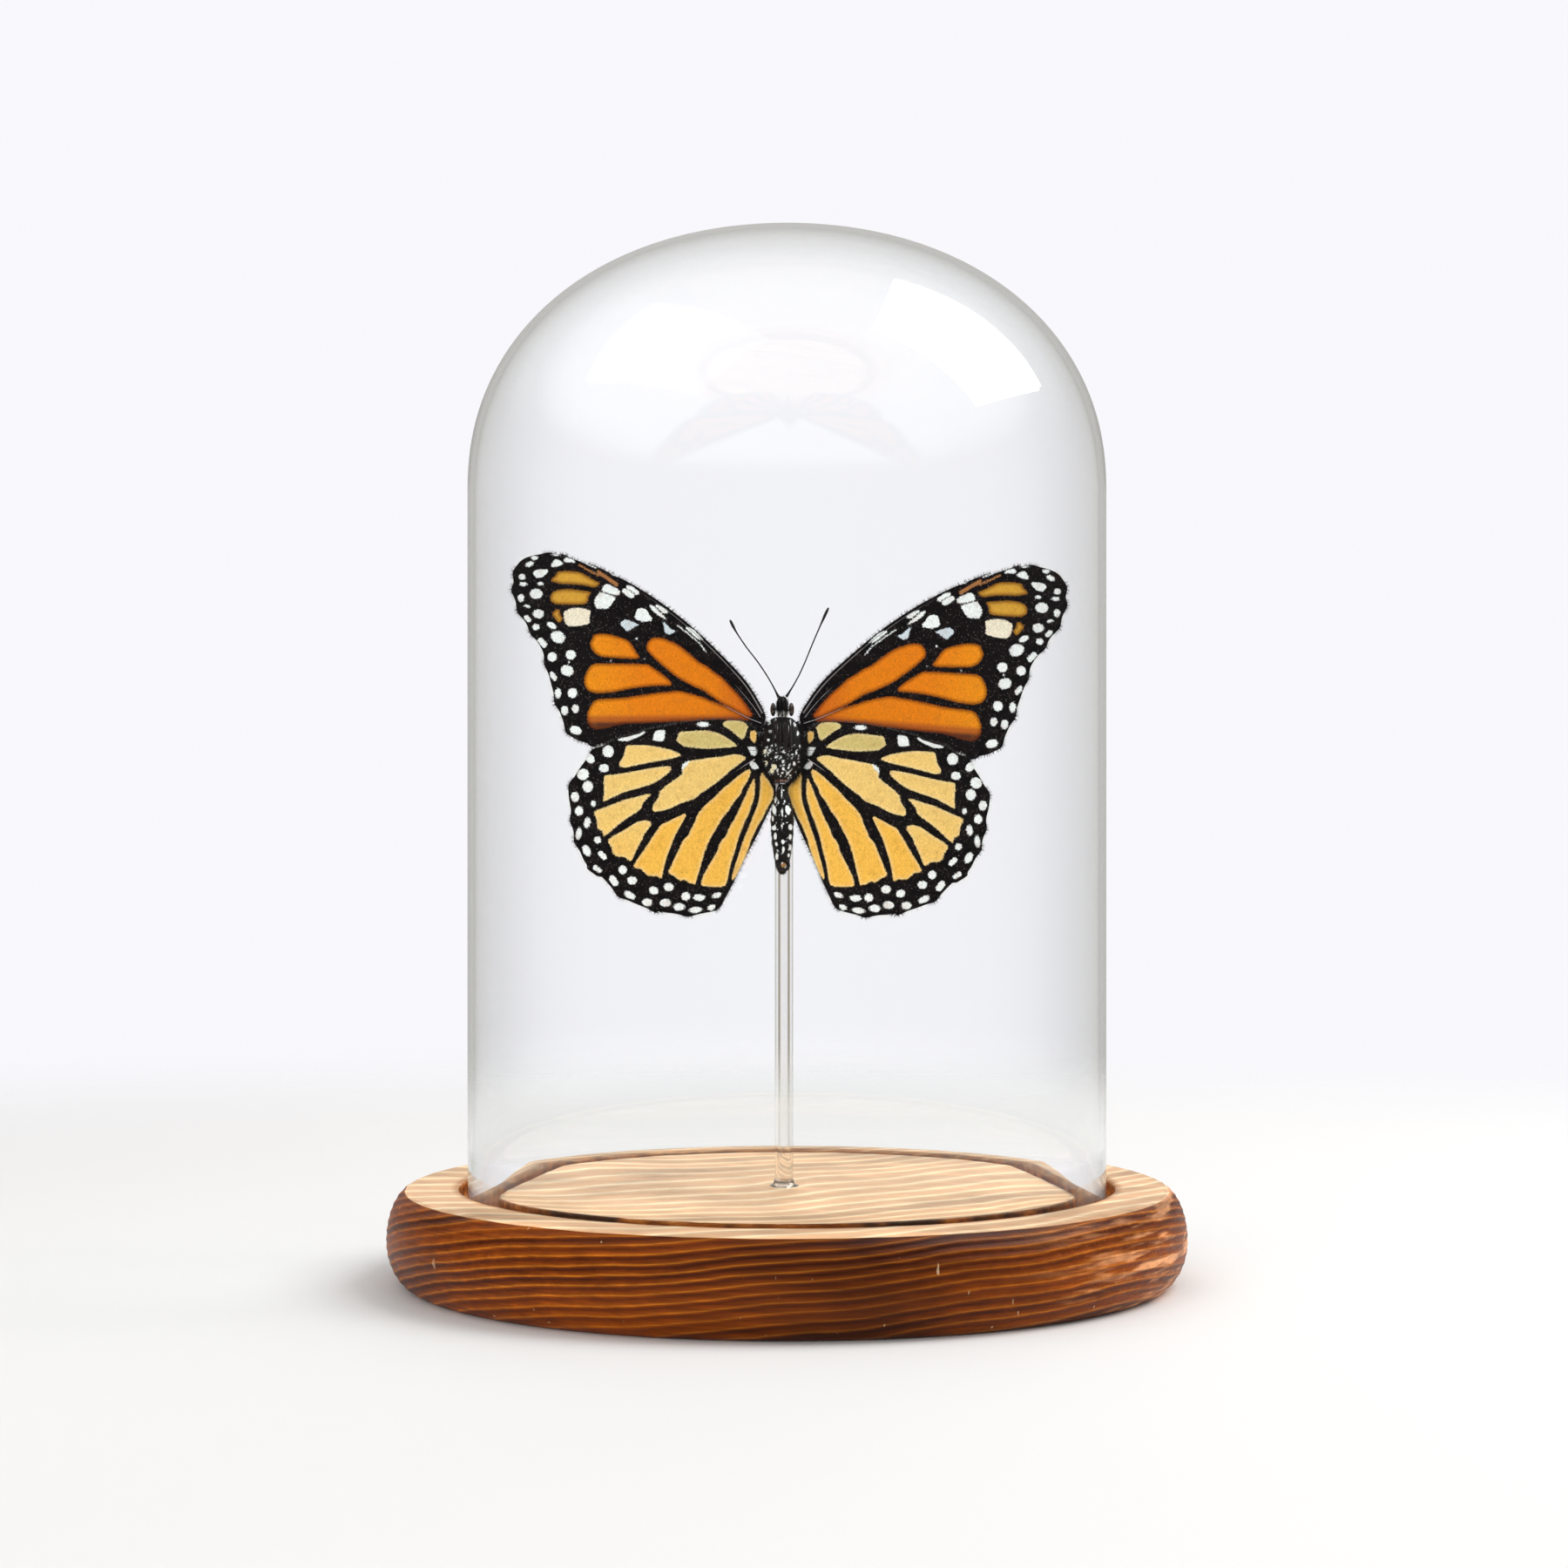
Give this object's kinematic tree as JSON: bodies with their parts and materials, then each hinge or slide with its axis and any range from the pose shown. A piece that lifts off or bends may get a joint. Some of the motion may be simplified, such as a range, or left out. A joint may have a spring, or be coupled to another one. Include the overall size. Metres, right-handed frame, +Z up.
{
  "type": "insect in glass dome",
  "caption": "Spread orange and black butterfly on a clear rod over a turned wooden base, under a tall clear glass dome.",
  "frame": {"origin": "centre of the wooden base's flat underside", "axes": "+Z up, out of the top of the dome; the insect's underside and the front face -Y; +X to the right seen from the front"},
  "size_m": [0.1368, 0.1368, 0.1803],
  "materials": {
    "scorched_wood": "scorched, brushed along the grain and waxed",
    "blown_glass": "clear and polished",
    "clear_acrylic": "clear and polished",
    "clear_glue": "clear, slightly rippled",
    "black_cuticle": "black hairs and scales with white tufts",
    "eye_shell": "dark, faintly glossy facets",
    "wing_scales": "fine matt scales in orange, buff, black and white"
  },
  "bodies": {
    "root": {"wood_base": "scorched_wood", "glass_dome": "blown_glass", "support_rod": "clear_acrylic", "glue_ring": "clear_glue", "glue_dab": "clear_glue", "thorax": "black_cuticle", "abdomen": "black_cuticle", "head": "black_cuticle", "eye_left": "eye_shell", "eye_right": "eye_shell", "palp_left": "black_cuticle", "palp_right": "black_cuticle", "antenna_left": "black_cuticle", "antenna_right": "black_cuticle", "mid_leg_left": "black_cuticle", "mid_leg_right": "black_cuticle", "hind_leg_left": "black_cuticle", "hind_leg_right": "black_cuticle", "proboscis": "black_cuticle", "forewing_left": "wing_scales", "forewing_right": "wing_scales", "hindwing_left": "wing_scales", "hindwing_right": "wing_scales"}
  },
  "joints": []
}
